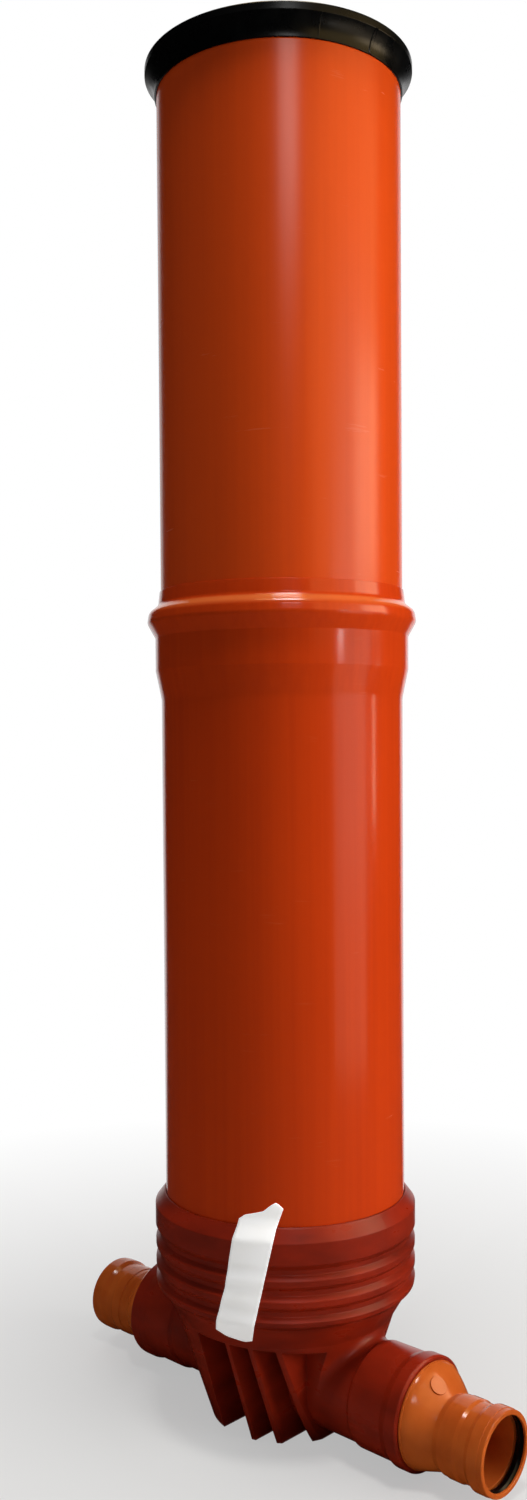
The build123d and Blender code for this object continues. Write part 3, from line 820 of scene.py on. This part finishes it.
soft_lamp("key_softbox", 70, 3.0, 1.6, 2.0, 2.0, 76).visible_glossy = False
soft_lamp("back_fill", -160, 3.1, 2.0, 2.0, 2.0, 34).visible_glossy = False
soft_lamp("ceiling_lamp", 15, 0.9, 5.0, 0.9, 0.9, 90)
for card in (
    soft_lamp("low_card", 64, 2.6, 0.75, 1.6, 1.5, 14, WARM),
    soft_lamp("middle_card", 84, 2.6, 2.0, 1.3, 0.8, 18, WARM),
    soft_lamp("high_card", 9, 6.2, 4.9, 1.7, 1.1, 62),
    soft_lamp("warm_wall", 62, 2.9, 2.6, 4.2, 2.0, 60, TUNGSTEN),
    soft_lamp("overhead_card", 0, 0.01, 5.2, 1.6, 1.6, 70, TUNGSTEN),
    soft_lamp("bare_bulb", 49.4, 1.34, 1.38, 0.11, 0.07, 0.5),
    soft_lamp("edge_strip", 92, 2.6, 1.1, 0.1, 0.5, 2.0, WARM),
):
    card.visible_diffuse = False

# Flag: a black studio cloth hung round all but the back, with a roof, and drawn over the
# floor up to the object. It is seen in reflections only and hangs behind the lamps.
FLAG_BLACK = "#0A0A0A"
FLAG_R = 6.8
FLAG_H = 7.0
FLAG_LIFT = 0.002
FLAG_FLOOR_INNER_R = 0.02
FLAG_ROOF_INNER_R = 0.01
FLAG_OUTLINE = (
    (FLAG_FLOOR_INNER_R, FLAG_LIFT),
    (FLAG_R, FLAG_LIFT),
    (FLAG_R, FLAG_H),
    (FLAG_ROOF_INNER_R, FLAG_H),
)
FLAG_FROM = -150
FLAG_TO = 150
FLAG_PANELS = 48

flag_mesh = bpy.data.meshes.new("black_flag")
flag_points = []
for i in range(FLAG_PANELS + 1):
    turn = FLAG_FROM + (FLAG_TO - FLAG_FROM) * i / FLAG_PANELS
    heading = CAMERA_TURN + math.radians(turn)
    for radius, height in FLAG_OUTLINE:
        flag_points.append((radius * math.sin(heading), -radius * math.cos(heading), height))
rows = len(FLAG_OUTLINE)
flag_quads = [
    (corner, corner + rows, corner + rows + 1, corner + 1)
    for i in range(FLAG_PANELS)
    for corner in range(rows * i, rows * (i + 1) - 1)
]
flag_mesh.from_pydata(flag_points, [], flag_quads)
flag_cloth, tree, shader, coords = surface("black_cloth")
feed(tree, shader, {"Base Color": linear(FLAG_BLACK), "Roughness": 0.95})
flag_mesh.materials.append(flag_cloth)
flag = bpy.data.objects.new("black_flag", flag_mesh)
bpy.context.scene.collection.objects.link(flag)
flag.visible_camera = False
flag.visible_diffuse = False
flag.visible_shadow = False

# Camera: stands where the photograph was taken from and frames it alike. Its place, turn
# in radians and focal length were fitted to the risers, the collar and the right mouth.
CAMERA_DISTANCE = 2.2594
EYE_HEIGHT = 1.120
CAMERA_YAW = 0.021
CAMERA_PITCH = -0.033
CAMERA_ROLL = 0.007
FOCAL_PIXELS = 1351.8
IMAGE_W = 527
IMAGE_H = 1500
CENTRE_X = 254.14
CENTRE_Y = 790.27
SENSOR = 36.0

camera_data = bpy.data.cameras.new("camera")
camera_data.sensor_width = SENSOR
camera_data.lens = FOCAL_PIXELS * SENSOR / IMAGE_H
camera_data.shift_x = (0.5 * IMAGE_W - CENTRE_X) / IMAGE_H
camera_data.shift_y = (CENTRE_Y - 0.5 * IMAGE_H) / IMAGE_H
camera = bpy.data.objects.new("camera", camera_data)
eye = Vector((math.sin(CAMERA_TURN), -math.cos(CAMERA_TURN), 0)) * CAMERA_DISTANCE
eye.z = EYE_HEIGHT
camera.matrix_world = (
    Matrix.Translation(eye)
    @ Matrix.Rotation(CAMERA_TURN + CAMERA_YAW, 4, "Z")
    @ Matrix.Rotation(math.radians(90) + CAMERA_PITCH, 4, "X")
    @ Matrix.Rotation(-CAMERA_ROLL, 4, "Z")
)
bpy.context.scene.collection.objects.link(camera)
bpy.context.scene.camera = camera
bpy.context.scene.view_settings.view_transform = "Standard"
